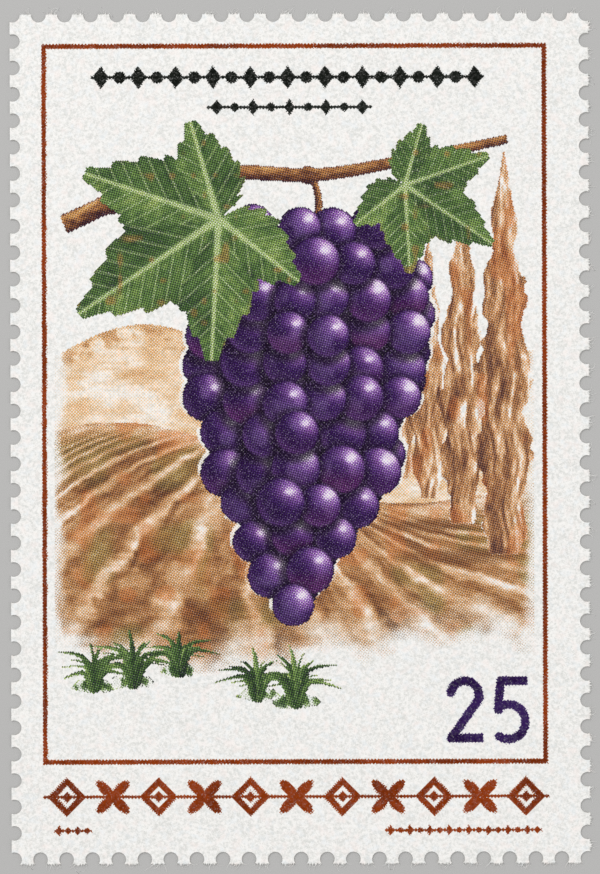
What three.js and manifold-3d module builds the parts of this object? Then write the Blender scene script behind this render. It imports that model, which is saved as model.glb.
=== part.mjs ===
// A perforated postage stamp, lying face up, with a generic picture of grapes on the vine.
// Millimetres. +X is the stamp's right, +Y its top and +Z points out of the printed face.
// The origin is the middle of the sheet, on the surface that the gummed back lies on.

import * as THREE from "three";
import { mergeVertices } from "three/addons/utils/BufferGeometryUtils.js";
import Module from "manifold-3d";

const wasm = await Module();
wasm.setup();

// Driving dimensions of the sheet.
const perforation = {
  across: 22, // hole pitches from the left row of holes to the right one
  down: 32, // hole pitches from the bottom row to the top one
  pitchX: 20 / 13.5, // gauge 13 1/2: 13.5 holes in 20 mm
  pitchY: 1.5, // gauge 13 1/3
  holeRadius: 0.42,
  holeSteps: 5, // straight steps round each half hole
};
// How far the torn tips reach past the line through the hole centres.
const tipReach = { left: 0.15, right: 0.13, top: 0.03, bottom: 0.26 };
const thickness = { gum: 0.015, paper: 0.095, ink: 0.006 };

// Driving dimensions of the print.
const frameRule = { left: -14.52, right: 13.9, top: 22.33, bottom: -18.35, width: 0.23 };
const lowerBand = { left: -14.6, right: 14.1, y: -20.33, height: 2.2, count: 11, lineWidth: 0.13 };
const upperBand = { left: -11.8, right: 10.5, y: 20.55, height: 1.25, count: 21, lineWidth: 0.14 };
const shortBand = { left: -5.2, right: 4.1, y: 18.85, height: 0.85, count: 9, lineWidth: 0.12 };
const leftMarks = { left: -14.0, right: -11.9, y: -22.25, height: 0.54, count: 4, lineWidth: 0.1 };
const rightMarks = { left: 4.8, right: 13.7, y: -22.25, height: 0.54, count: 16, lineWidth: 0.1 };
const numeral = { left: 8.3, baseline: -17.25, height: 3.7, digitWidth: 2.05, gap: 0.55, stroke: 0.46 };
const picture = { left: -13.95, right: 13.3, bottom: -13.0 };
const bunch = {
  x: 0.9,
  top: 11.9,
  height: 21.4,
  halfWidth: 6.7,
  rows: 12,
  berryRadius: 1.3,
  spacing: 2.2,
  lean: -1.5, // how far the tip hangs to the left of the top
  sides: 14,
};
const bigLeaf = { x: -4.6, y: 12.5, size: 9.6, turn: 214 };
const smallLeaf = { x: 6.0, y: 14.4, size: 6.0, turn: -34 };
const leafForm = {
  lobes: [
    { turn: 0, length: 1, width: 0.26 },
    { turn: 53, length: 0.84, width: 0.235 },
    { turn: -53, length: 0.84, width: 0.235 },
    { turn: 108, length: 0.6, width: 0.19 },
    { turn: -108, length: 0.6, width: 0.19 },
  ],
  teeth: 6, // on each side of a lobe
  toothDepth: 0.035,
};
const cane = {
  path: [[-13.4, 12.2], [-9, 14.1], [-4, 15.1], [1, 15.0], [6, 15.8], [11.8, 17.0]],
  thickEnd: 0.56,
  thinEnd: 0.26,
  knots: [0.13, 0.36, 0.58, 0.79],
  knotRise: 0.16,
};
const peduncle = { path: [[0.6, 15.1], [1.1, 13.6], [0.9, 11.4]], halfWidth: 0.2 };
const poplars = { count: 7, x: 11.6, base: -6.6, top: 16.4, horizon: 2.2, shrink: 0.8, slimness: 0.062 };
const grass = { x: -6.1, y: -14.9, tufts: 5, spread: 2.9, blades: 7, bladeLength: 4.3, bladeHalfWidth: 0.26 };

const colour = {
  paper: 0xecebe7,
  gum: 0xe8e2cf,
  brick: 0x8b3a12,
  darkGrey: 0x2c302e,
  violet: 0x3a2265,
  berry: 0x4c2f7c,
  leaf: 0x46744a,
  wood: 0x7a4e2a,
  ochreDark: 0xa06c3a,
  ochre: 0xbf8a55,
  ochrePale: 0xd9b48b,
};

const paperBottom = thickness.gum;
const paperTop = paperBottom + thickness.paper;
const degrees = Math.PI / 180;

// A number from 0 to 1 that always comes out the same for the same seed.
function scatter(seed) {
  const wave = Math.sin(seed * 12.9898 + 4.1414) * 43758.5453;
  return wave - Math.floor(wave);
}

// Outline of the perforated sheet, anticlockwise from the first hole of the bottom edge.
function sheetOutline() {
  const { across, down, pitchX, pitchY, holeRadius, holeSteps } = perforation;
  const width = across * pitchX + tipReach.left + tipReach.right;
  const height = down * pitchY + tipReach.top + tipReach.bottom;
  const left = -width / 2 + tipReach.left;
  const right = width / 2 - tipReach.right;
  const bottom = -height / 2 + tipReach.bottom;
  const top = height / 2 - tipReach.top;
  const sides = [
    { normal: -90, reach: tipReach.bottom, count: across, x: left, y: bottom, dx: pitchX, dy: 0 },
    { normal: 0, reach: tipReach.right, count: down, x: right, y: bottom, dx: 0, dy: pitchY },
    { normal: 90, reach: tipReach.top, count: across, x: right, y: top, dx: -pitchX, dy: 0 },
    { normal: 180, reach: tipReach.left, count: down, x: left, y: top, dx: 0, dy: -pitchY },
  ];
  // Half the angle of the hole's mouth, where the line of the torn tips cuts the hole.
  const mouth = (side) => Math.acos(side.reach / holeRadius) / degrees;
  const points = [];
  sides.forEach((side, index) => {
    const next = sides[(index + 1) % sides.length];
    for (let i = 1; i <= side.count; i++) {
      const isCorner = i === side.count;
      const from = side.normal - mouth(side);
      const to = (isCorner ? side.normal + 90 + mouth(next) : side.normal + mouth(side)) - 360;
      for (let step = 0; step <= holeSteps; step++) {
        const angle = (from + ((to - from) * step) / holeSteps) * degrees;
        points.push([
          side.x + side.dx * i + holeRadius * Math.cos(angle),
          side.y + side.dy * i + holeRadius * Math.sin(angle),
        ]);
      }
    }
  });
  return points;
}

function shapeOf(points, holes = []) {
  const shape = new THREE.Shape(points.map(([x, y]) => new THREE.Vector2(x, y)));
  shape.holes = holes.map((hole) => new THREE.Path(hole.map(([x, y]) => new THREE.Vector2(x, y))));
  return shape;
}

function plate(shape, bottom, depth) {
  return new THREE.ExtrudeGeometry(shape, { depth, bevelEnabled: false }).translate(0, 0, bottom);
}

function solidOf(geometry) {
  const bare = geometry.clone();
  bare.deleteAttribute("normal");
  bare.deleteAttribute("uv");
  const merged = mergeVertices(bare, 1e-4);
  const mesh = new wasm.Mesh({
    numProp: 3,
    vertProperties: merged.attributes.position.array,
    triVerts: new Uint32Array(merged.index.array),
  });
  return new wasm.Manifold(mesh);
}

function geometryOf(solid) {
  const mesh = solid.getMesh();
  const geometry = new THREE.BufferGeometry();
  geometry.setAttribute("position", new THREE.BufferAttribute(new Float32Array(mesh.vertProperties), 3));
  geometry.setIndex(new THREE.BufferAttribute(mesh.triVerts, 1));
  return geometry;
}

// One printed form as a thin film on the paper.
function film(points, holes) {
  return solidOf(plate(shapeOf(points, holes), paperTop, thickness.ink));
}

function joined(films) {
  return films.reduce((whole, next) => whole.add(next));
}

function ellipse(x, y, halfWidth, halfHeight, sides, turn = 0) {
  const points = [];
  for (let i = 0; i < sides; i++) {
    const angle = (i / sides) * 2 * Math.PI;
    const across = halfWidth * Math.cos(angle);
    const up = halfHeight * Math.sin(angle);
    points.push([
      x + across * Math.cos(turn) - up * Math.sin(turn),
      y + across * Math.sin(turn) + up * Math.cos(turn),
    ]);
  }
  return points;
}

function rectangle(left, bottom, right, top) {
  return [[left, bottom], [right, bottom], [right, top], [left, top]];
}

// A strip along a smooth path, with its half width given at each share of the length.
function strip(path, halfWidth, steps) {
  const curve = new THREE.SplineCurve(path.map(([x, y]) => new THREE.Vector2(x, y)));
  const oneSide = [];
  const otherSide = [];
  for (let i = 0; i <= steps; i++) {
    const share = i / steps;
    const point = curve.getPoint(share);
    const along = curve.getTangent(share);
    const half = halfWidth(share);
    oneSide.push([point.x + along.y * half, point.y - along.x * half]);
    otherSide.unshift([point.x - along.y * half, point.y + along.x * half]);
  }
  return [...oneSide, ...otherSide];
}

// A plain rule with round the picture.
function frameRuleFilm() {
  const { left, right, top, bottom, width } = frameRule;
  const half = width / 2;
  return film(rectangle(left - half, bottom - half, right + half, top + half), [
    rectangle(left + half, bottom + half, right - half, top - half),
  ]);
}

// Ornaments strung on a thin line: open lozenges and four-petal rosettes by turns.
function ornamentBand({ left, right, y, height, count, lineWidth }) {
  const pitch = (right - left) / count;
  const half = height / 2;
  const films = [film(rectangle(left, y - lineWidth / 2, right, y + lineWidth / 2))];
  for (let i = 0; i < count; i++) {
    const x = left + pitch * (i + 0.5);
    if (i % 2 === 0) {
      const hole = ellipse(x, y, half * 0.56, half * 0.6, 4);
      films.push(film(ellipse(x, y, half * 0.98, half, 4), [hole]));
      films.push(film(ellipse(x, y, half * 0.26, half * 0.28, 4)));
    } else {
      for (let petal = 0; petal < 4; petal++) {
        const turn = (45 + 90 * petal) * degrees;
        const reach = half * 0.56;
        films.push(
          film(
            ellipse(x + reach * Math.cos(turn), y + reach * Math.sin(turn), half * 0.56, half * 0.25, 8, turn),
          ),
        );
      }
    }
  }
  return joined(films);
}

// Small lozenges and discs by turns, strung on a thin line.
function beadBand({ left, right, y, height, count, lineWidth }) {
  const pitch = (right - left) / count;
  const half = height / 2;
  const films = [film(rectangle(left, y - lineWidth / 2, right, y + lineWidth / 2))];
  for (let i = 0; i < count; i++) {
    const x = left + pitch * (i + 0.5);
    const isLozenge = i % 2 === 0;
    const size = isLozenge ? half : half * 0.52;
    films.push(film(ellipse(x, y, isLozenge ? size * 0.72 : size, size, isLozenge ? 4 : 8)));
  }
  return joined(films);
}

// The plain figures 2 and 5, drawn with a pen of one width.
function digitFilm(figure, left) {
  const { baseline, height, digitWidth, stroke } = numeral;
  const half = stroke / 2;
  const right = left + digitWidth;
  const pen = (path, steps) => film(strip(path, () => half, steps));
  const bar = (y, from, to) => film(rectangle(from, y - half, to, y + half));
  if (figure === 2) {
    const radius = digitWidth / 2 - half;
    const arc = [];
    for (let angle = 170; angle >= -30; angle -= 20) {
      arc.push([
        left + digitWidth / 2 + radius * Math.cos(angle * degrees),
        baseline + height - half - radius + radius * Math.sin(angle * degrees),
      ]);
    }
    const foot = [left + half * 1.1, baseline + half];
    return joined([pen([...arc, foot], 18), bar(baseline + half, left + half * 0.4, right)]);
  }
  const radius = height * 0.31;
  const bowl = [];
  for (let angle = 118; angle >= -145; angle -= 24) {
    bowl.push([
      left + digitWidth / 2 - half * 0.6 + (digitWidth / 2 - half * 0.2) * Math.cos(angle * degrees),
      baseline + radius + radius * 0.86 * Math.sin(angle * degrees),
    ]);
  }
  const stemTop = baseline + height - half;
  const stem = pen([[left + stroke, stemTop], [left + half * 1.4, baseline + height * 0.49]], 4);
  return joined([bar(stemTop, left + stroke * 0.7, right - half * 0.4), stem, pen(bowl, 18)]);
}

// Rows of berries, each with its centre and radius, that widen to the shoulders and taper to the tip.
function berryRows() {
  const rows = [];
  for (let row = 0; row < bunch.rows; row++) {
    const share = row / (bunch.rows - 1);
    const half = bunch.halfWidth * Math.sin(Math.PI * (0.2 + 0.78 * Math.pow(share, 0.85)));
    const count = Math.max(1, Math.round((2 * half) / bunch.spacing));
    const found = [];
    for (let i = 0; i < count; i++) {
      const seed = row * 17 + i * 5;
      found.push({
        x: bunch.x + bunch.lean * share + (i - (count - 1) / 2) * bunch.spacing + 0.5 * (scatter(seed) - 0.5),
        y: bunch.top - bunch.height * share + 0.5 * (scatter(seed + 1) - 0.5),
        radius: bunch.berryRadius * (0.92 + 0.16 * scatter(seed + 2)),
      });
    }
    rows.push(found);
  }
  return rows;
}

// The berries as one form, with the chinks between them filled.
function bunchFilm() {
  const rows = berryRows();
  const leftEdge = rows.map((row) => [row[0].x, row[0].y]);
  const rightEdge = rows.slice(0, -1).map((row) => [row[row.length - 1].x, row[row.length - 1].y]);
  const core = film([...leftEdge, ...rightEdge.reverse()]);
  const outer = rows.flatMap((row, i) => (i === 0 ? row : [row[0], row[row.length - 1]]));
  return joined([core, ...outer.map(({ x, y, radius }) => film(ellipse(x, y, radius, radius, bunch.sides)))]);
}

// A pointed lobe with a toothed edge, from the leaf's base out along its own rib.
function lobeOutline(leaf, lobe) {
  const turn = (leaf.turn + lobe.turn) * degrees;
  const length = leaf.size * lobe.length;
  const halfAt = (share) => leaf.size * lobe.width * Math.pow(Math.sin(Math.PI * Math.pow(share, 0.72)), 1.05);
  const edge = [];
  for (let tooth = 0; tooth < leafForm.teeth; tooth++) {
    const start = tooth / leafForm.teeth;
    const end = (tooth + 0.86) / leafForm.teeth;
    edge.push([start, halfAt(start)]);
    edge.push([end, halfAt(end) + leaf.size * leafForm.toothDepth]);
  }
  const place = ([share, side]) => [
    leaf.x + length * share * Math.cos(turn) - side * Math.sin(turn),
    leaf.y + length * share * Math.sin(turn) + side * Math.cos(turn),
  ];
  const mirrored = edge
    .slice(1)
    .reverse()
    .map(([share, side]) => [share, -side]);
  return [...[...mirrored, ...edge].map(place), place([1, 0])];
}

function leafFilm(leaf) {
  return joined(leafForm.lobes.map((lobe) => film(lobeOutline(leaf, lobe))));
}

function caneFilm() {
  const halfWidth = (share) => {
    const swelling = cane.knots.reduce((sum, knot) => sum + Math.exp(-Math.pow((share - knot) / 0.012, 2)), 0);
    return cane.thickEnd + (cane.thinEnd - cane.thickEnd) * share + cane.knotRise * swelling;
  };
  return joined([
    film(strip(cane.path, halfWidth, 40)),
    film(strip(peduncle.path, () => peduncle.halfWidth, 6)),
  ]);
}

// A row of poplars that shrinks towards the horizon.
function poplarFilm() {
  const films = [];
  let x = poplars.x;
  for (let i = 0; i < poplars.count; i++) {
    const scale = Math.pow(poplars.shrink, i);
    const base = poplars.horizon + (poplars.base - poplars.horizon) * scale;
    const top = poplars.horizon + (poplars.top - poplars.horizon) * scale;
    const half = (top - base) * poplars.slimness;
    const crown = (share) =>
      half * Math.pow(Math.sin(Math.PI * (0.12 + 0.88 * Math.pow(share, 0.75))), 0.8) *
      (1 + 0.16 * Math.sin(share * 31 + i * 2));
    films.push(film(strip([[x, base], [x + 0.1 * half, top]], (share) => Math.max(0.03, crown(share)), 12)));
    x -= half * (1 + poplars.shrink) * 0.93;
  }
  return joined(films);
}

// A region between two lines that are functions of x.
function between(left, right, upper, lower, steps) {
  const top = [];
  const bottom = [];
  for (let i = 0; i <= steps; i++) {
    const x = left + ((right - left) * i) / steps;
    bottom.push([x, lower(x)]);
    top.unshift([x, upper(x)]);
  }
  return film([...bottom, ...top]);
}

const nearHill = (x) => -1.6 - 0.11 * x + 1.5 * Math.cos((x + 9) * 0.23);
const farHill = (x) => 3.6 + 2.4 * Math.cos((x + 8.5) * 0.27) - 0.06 * x;
const groundEdge = (x) => picture.bottom + 0.8 * Math.cos((x - 9) * 0.22) + 0.35 * Math.sin(x * 1.3);

// Tufts of grass along the ground, each a fan of curved blades.
function grassFilm() {
  const films = [];
  for (let tuft = 0; tuft < grass.tufts; tuft++) {
    const rootX = grass.x + (tuft - (grass.tufts - 1) / 2 + 0.7 * (scatter(tuft + 50) - 0.5)) * grass.spread;
    const rootY = grass.y + 2.0 * scatter(tuft + 42);
    const growth = 0.6 + 0.6 * scatter(tuft + 61);
    for (let blade = 0; blade < grass.blades; blade++) {
      const seed = tuft * 31 + blade;
      const lean = -1.25 + (2.5 * blade) / (grass.blades - 1) + 0.25 * (scatter(seed) - 0.5);
      const length = grass.bladeLength * growth * (0.65 + 0.5 * scatter(seed + 7)) * (1 - 0.18 * Math.abs(lean));
      const tip = [rootX + length * Math.sin(lean), rootY + length * Math.cos(lean) * 0.75];
      const middle = [rootX + length * 0.45 * Math.sin(lean * 0.6), rootY + length * 0.5 * Math.cos(lean * 0.6)];
      const path = [[rootX + 0.08 * lean, rootY - 0.25], middle, tip];
      const halfWidth = (share) => grass.bladeHalfWidth * (1.05 - share);
      films.push(film(strip(path, halfWidth, 3)));
    }
    films.push(film(ellipse(rootX, rootY - 0.1, grass.spread * 0.5 * growth, 0.36, 8)));
  }
  return joined(films);
}

const stamp = new THREE.Group();

function addMesh(name, geometry, hex, roughness = 0.85) {
  const material = new THREE.MeshStandardMaterial({ color: hex, roughness, metalness: 0 });
  const mesh = new THREE.Mesh(geometry, material);
  mesh.name = name;
  stamp.add(mesh);
}

// Printed forms that would lie over each other share one plane: each is cut by those in front.
// A form that this splits gives one numbered mesh for each part, and scraps are dropped.
let inFront = null;
const leastArea = 1.2;

function addPictureFilm(name, solid, hex) {
  const visible = inFront ? solid.subtract(inFront) : solid;
  inFront = inFront ? inFront.add(solid) : solid;
  const parts = visible
    .decompose()
    .filter((part) => part.volume() > leastArea * thickness.ink)
    .sort((a, b) => a.boundingBox().min[0] - b.boundingBox().min[0]);
  parts.forEach((part, i) => {
    addMesh(parts.length > 1 ? `${name}_${i + 1}` : name, geometryOf(part), hex, 0.6);
  });
}

const outline = sheetOutline();
addMesh("gum_layer", plate(shapeOf(outline), 0, thickness.gum), colour.gum, 0.35);
addMesh("paper_sheet", plate(shapeOf(outline), paperBottom, thickness.paper), colour.paper, 0.9);

addMesh("ink_frame_rule", geometryOf(frameRuleFilm()), colour.brick, 0.6);
addMesh("ink_lower_band", geometryOf(ornamentBand(lowerBand)), colour.brick, 0.6);
addMesh("ink_upper_band", geometryOf(beadBand(upperBand)), colour.darkGrey, 0.6);
addMesh("ink_short_band", geometryOf(beadBand(shortBand)), colour.darkGrey, 0.6);
addMesh("ink_left_marks", geometryOf(beadBand(leftMarks)), colour.brick, 0.6);
addMesh("ink_right_marks", geometryOf(beadBand(rightMarks)), colour.brick, 0.6);
addMesh("ink_numeral_2", geometryOf(digitFilm(2, numeral.left)), colour.violet, 0.6);
addMesh(
  "ink_numeral_5",
  geometryOf(digitFilm(5, numeral.left + numeral.digitWidth + numeral.gap)),
  colour.violet,
  0.6,
);

addPictureFilm("ink_leaf_big", leafFilm(bigLeaf), colour.leaf);
addPictureFilm("ink_leaf_small", leafFilm(smallLeaf), colour.leaf);
addPictureFilm("ink_bunch", bunchFilm(), colour.berry);
addPictureFilm("ink_cane", caneFilm(), colour.wood);
addPictureFilm("ink_grass", grassFilm(), colour.leaf);
addPictureFilm("ink_poplars", poplarFilm(), colour.ochreDark);
addPictureFilm("ink_near_hill", between(picture.left, picture.right, nearHill, groundEdge, 30), colour.ochre);
addPictureFilm(
  "ink_far_hill",
  between(picture.left, picture.right, farHill, (x) => nearHill(x) - 1, 30),
  colour.ochrePale,
);

export default stamp;
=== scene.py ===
import math

import bpy
import numpy as np
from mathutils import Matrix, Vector
from mathutils.geometry import tessellate_polygon


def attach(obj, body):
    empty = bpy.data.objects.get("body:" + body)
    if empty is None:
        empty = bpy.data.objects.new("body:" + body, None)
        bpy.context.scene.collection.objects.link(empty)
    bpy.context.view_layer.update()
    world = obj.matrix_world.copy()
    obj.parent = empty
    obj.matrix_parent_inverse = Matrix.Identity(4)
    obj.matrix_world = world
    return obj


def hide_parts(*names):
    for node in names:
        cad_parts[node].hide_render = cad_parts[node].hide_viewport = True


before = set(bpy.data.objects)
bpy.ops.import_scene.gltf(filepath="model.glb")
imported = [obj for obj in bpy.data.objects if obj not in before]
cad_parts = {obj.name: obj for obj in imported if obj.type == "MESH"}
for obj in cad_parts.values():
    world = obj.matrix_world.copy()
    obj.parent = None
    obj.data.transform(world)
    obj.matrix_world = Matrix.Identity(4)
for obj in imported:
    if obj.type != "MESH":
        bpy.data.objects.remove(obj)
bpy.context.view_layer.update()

MM = 0.001

# The photograph: its height, the stamp's middle in it, its scale, and the stamp's slight turn.
IMAGE_HEIGHT = 874
STAMP_MIDDLE_Y = 438.8
PIXELS_PER_MM = 17.6
CAMERA_TURN = -0.15
LENS = 100

# The sheet, with the same measures as the solids.
HOLES_ACROSS = 22
HOLES_DOWN = 32
PITCH_X = 20 / 13.5
PITCH_Y = 1.5
HOLE_RADIUS = 0.42
REACH = {"left": 0.15, "right": 0.13, "top": 0.03, "bottom": 0.26}
GUM_TOP = 0.015
PAPER_TOP = 0.11
INK_TOP = 0.116
ARC_STEPS = 12
TIP_STEPS = 22
TIP_RAGGED = 0.15
TORN_DEPTH = 0.07
CUT_BEVEL = 0.016

# The print. The dark screen takes a share of the darkness, and its ink has a density.
SCREEN_PITCH = 0.13
COLOUR_SCREEN_TURN = 45
DARK_SCREEN_TURN = 75
DARK_SHARE = 0.62
DARK_DENSITY = 0.86
PICTURE_CELL = SCREEN_PITCH / math.sqrt(2)
LINE_CELL = 0.045
RULE = {"left": -14.52, "right": 13.9, "top": 22.33, "bottom": -18.35, "width": 0.23}
LOWER_BAND = {"left": -14.6, "right": 14.1, "y": -20.33, "height": 2.2, "count": 11, "line": 0.13}
UPPER_BAND = {"left": -11.8, "right": 10.5, "y": 20.55, "height": 1.25, "count": 21, "line": 0.14}
SHORT_BAND = {"left": -5.2, "right": 4.1, "y": 18.85, "height": 0.85, "count": 9, "line": 0.12}
LEFT_MARKS = {"left": -14.0, "right": -11.9, "y": -22.25, "height": 0.54, "count": 4, "line": 0.1}
RIGHT_MARKS = {"left": 4.8, "right": 13.7, "y": -22.25, "height": 0.54, "count": 16, "line": 0.1}
NUMERAL = {"left": 8.3, "baseline": -17.25, "height": 3.7, "width": 2.05, "gap": 0.55, "stroke": 0.46}
PICTURE = {"left": -13.95, "right": 13.3, "top": 17.7, "bottom": -13.0}
BUNCH = {"x": 0.9, "top": 11.9, "height": 21.4, "half_width": 6.7, "rows": 12}
BERRY_RADIUS = 1.3
BERRY_SPACING = 2.2
BUNCH_LEAN = -1.5
BIG_LEAF = {"x": -4.6, "y": 12.5, "size": 9.6, "turn": 214}
SMALL_LEAF = {"x": 6.0, "y": 14.4, "size": 6.0, "turn": -34}
LOBES = [(0, 1, 0.26), (53, 0.84, 0.235), (-53, 0.84, 0.235), (108, 0.6, 0.19), (-108, 0.6, 0.19)]
LEAF_TEETH = 6
TOOTH_DEPTH = 0.035
CANE_PATH = [(-13.4, 12.2), (-9, 14.1), (-4, 15.1), (1, 15.0), (6, 15.8), (11.8, 17.0)]
CANE_THICK = 0.56
CANE_THIN = 0.26
CANE_KNOTS = [0.13, 0.36, 0.58, 0.79]
KNOT_RISE = 0.16
STALK_PATH = [(0.6, 15.1), (1.1, 13.6), (0.9, 11.4)]
STALK_HALF = 0.2
POPLARS = {"count": 7, "x": 11.6, "base": -6.6, "top": 16.4, "horizon": 2.2, "shrink": 0.8, "slim": 0.062}
GRASS = {"x": -6.1, "y": -14.9, "tufts": 5, "spread": 2.9, "blades": 7, "length": 4.3, "half": 0.26}

WHITE = np.array((0.925, 0.922, 0.912))
TABLE_COLOUR = (0.44, 0.44, 0.435, 1)
WORLD_COLOUR = (1.0, 0.99, 0.98, 1)
WORLD_STRENGTH = 0.72
LAMPS = [("key", (-0.16, 0.22, 0.30), 0.2, 0.66), ("fill", (0.24, -0.14, 0.26), 0.30, 0.235)]


def colour(text):
    """Display colour from six hex digits, as an array from 0 to 1."""
    return np.array([int(text[i : i + 2], 16) / 255 for i in (0, 2, 4)])


def linear(display):
    display = np.clip(display, 0, 1)
    return np.where(display <= 0.04045, display / 12.92, ((display + 0.055) / 1.055) ** 2.4)


def blend(a, b, share):
    """From colour a to colour b, point by point. Colour b may be hex digits."""
    if isinstance(b, str):
        b = colour(b)
    share = np.clip(share, 0, 1)[:, None]
    return a * (1 - share) + b * share


def ramp(value, *stops):
    """Colours between stops, given as (value, hex digits), at each value. The paper's white has none."""
    places = [place for place, _ in stops]
    colours = [colour(digits) if digits else WHITE for _, digits in stops]
    return np.stack([np.interp(value, places, [stop[k] for stop in colours]) for k in range(3)], 1)


def with_grain(tone, grain=0):
    """The colours with a fourth value: how many light specks the ink has."""
    return np.column_stack([tone, np.full(len(tone), grain, float)])


def smooth(low, high, value):
    share = np.clip((value - low) / (high - low), 0, 1)
    return share * share * (3 - 2 * share)


def scatter(seed):
    """The same number from 0 to 1 for the same seed as the solids use."""
    wave = math.sin(seed * 12.9898 + 4.1414) * 43758.5453
    return wave - math.floor(wave)


def noise(x, y, size, seed):
    """Smooth noise from 0 to 1 with blotches of about that size."""
    table = np.random.default_rng(seed).random((256, 256))
    u, v = x / size, y / size
    i, j = np.floor(u).astype(int), np.floor(v).astype(int)
    s, t = smooth(0, 1, u - i), smooth(0, 1, v - j)
    corner = lambda a, b: table[(i + a) & 255, (j + b) & 255]
    lower = corner(0, 0) * (1 - s) + corner(1, 0) * s
    upper = corner(0, 1) * (1 - s) + corner(1, 1) * s
    return lower * (1 - t) + upper * t


def rough(x, y, size, seed):
    """Noise in three sizes together."""
    return (
        0.55 * noise(x, y, size, seed)
        + 0.3 * noise(x, y, size * 0.45, seed + 1)
        + 0.15 * noise(x, y, size * 0.2, seed + 2)
    )


def spline(path, steps):
    """Points on a smooth curve through the path, as the solids have it."""
    knots = np.array(path, float)
    last = len(knots) - 1
    points = []
    for share in np.linspace(0, 1, steps):
        place = share * last
        i = min(int(place), last - 1)
        t = place - i
        p0, p1, p2, p3 = knots[max(i - 1, 0)], knots[i], knots[i + 1], knots[min(i + 2, last)]
        v0, v1 = (p2 - p0) / 2, (p3 - p1) / 2
        a = 2 * p1 - 2 * p2 + v0 + v1
        b = -3 * p1 + 3 * p2 - 2 * v0 - v1
        points.append(a * t**3 + b * t**2 + v0 * t + p1)
    return np.array(points)


def along(x, y, points):
    """For each point: share of the way along the line, and the signed distance to its left."""
    best = np.full(x.shape, 1e9)
    share, side = np.zeros(x.shape), np.full(x.shape, 1e9)
    count = len(points) - 1
    for i in range(count):
        (ax, ay), (bx, by) = points[i], points[i + 1]
        dx, dy = bx - ax, by - ay
        length = math.hypot(dx, dy)
        t = np.clip(((x - ax) * dx + (y - ay) * dy) / length**2, 0, 1)
        gap = np.hypot(x - ax - t * dx, y - ay - t * dy)
        nearer = gap < best
        best = np.where(nearer, gap, best)
        share = np.where(nearer, (i + t) / count, share)
        side = np.where(nearer, np.where((y - ay) * dx - (x - ax) * dy >= 0, gap, -gap), side)
    return share, side


# Meshes and pieces.


def piece(name, points, faces, material, replaced, wash=None, uv=None):
    """A mesh object from points in millimetres, riding on the stamp."""
    mesh = bpy.data.meshes.new(name)
    mesh.from_pydata((np.asarray(points) * MM).tolist(), [], faces)
    mesh.materials.append(material)
    if wash is not None:
        layer = mesh.attributes.new("wash", "FLOAT_COLOR", "POINT")
        layer.data.foreach_set("color", np.asarray(wash, np.float32).ravel())
    if uv is not None:
        corners = np.zeros(len(mesh.loops), np.int32)
        mesh.loops.foreach_get("vertex_index", corners)
        layer = mesh.uv_layers.new(name="OFBake")
        layer.data.foreach_set("uv", np.asarray(uv, np.float32)[corners].ravel())
    mesh.update()
    body = bpy.data.objects.new(name, mesh)
    bpy.context.scene.collection.objects.link(body)
    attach(body, "root")
    if replaced:
        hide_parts(*replaced)
    return body


def nodes_named(start):
    return sorted(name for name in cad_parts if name.startswith(start))


class Lattice:
    """Square cells at 45 degrees, in step with the printing screen."""

    def __init__(self, cell, left, right, bottom, top):
        self.cell = cell
        turned = lambda x, y: ((x + y) / math.sqrt(2), (y - x) / math.sqrt(2))
        corners = [turned(x, y) for x in (left, right) for y in (bottom, top)]
        low = np.floor(np.min(corners, 0) / cell).astype(int) - 1
        high = np.ceil(np.max(corners, 0) / cell).astype(int) + 1
        i, j = np.meshgrid(np.arange(low[0], high[0]), np.arange(low[1], high[1]), indexing="ij")
        self.shape = i.shape
        self.low = low
        self.x, self.y = self.place(i.ravel() + 0.5, j.ravel() + 0.5)

    def place(self, i, j):
        u, v = i * self.cell, j * self.cell
        return (u - v) / math.sqrt(2), (u + v) / math.sqrt(2)

    def film(self, name, inside, paint, material, replaced):
        """A closed film of ink made of the cells that are inside."""
        inside = inside.reshape(self.shape)
        rows, columns = np.nonzero(inside)
        stride = self.shape[1] + 1
        corner = lambda a, b: (rows + a) * stride + columns + b
        cells = np.stack([corner(0, 0), corner(1, 0), corner(1, 1), corner(0, 1)], 1)
        keys, flat = np.unique(cells, return_inverse=True)
        cells = flat.reshape(cells.shape)
        count = len(keys)
        x, y = self.place(keys // stride + self.low[0], keys % stride + self.low[1])
        top = np.stack([x, y, np.full(count, INK_TOP)], 1)
        bottom = np.stack([x, y, np.full(count, PAPER_TOP)], 1)
        padded = np.pad(inside, 1)
        walls = []
        # The neighbour below, right, above and left of each cell, with the edge shared with it.
        for di, dj, first, second in ((0, -1, 0, 1), (1, 0, 1, 2), (0, 1, 2, 3), (-1, 0, 3, 0)):
            open_side = ~padded[rows + 1 + di, columns + 1 + dj]
            a, b = cells[open_side, first], cells[open_side, second]
            walls.append(np.stack([a, a + count, b + count, b], 1))
        faces = np.concatenate([cells, cells[:, ::-1] + count, *walls]).tolist()
        tone = paint(x, y)
        wash = np.concatenate([linear(tone[:, :3]), tone[:, 3:]], 1)
        extent = max(np.ptp(x), np.ptp(y))
        flat_uv = np.stack([x - x.min(), y - y.min()], 1) / extent
        uv = np.concatenate([0.01 + 0.92 * flat_uv, 0.94 + 0.05 * flat_uv])
        points = np.concatenate([top, bottom])
        return piece(name, points, faces, material, replaced, np.tile(wash, (2, 1)), uv)


# Shader nodes.


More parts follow.
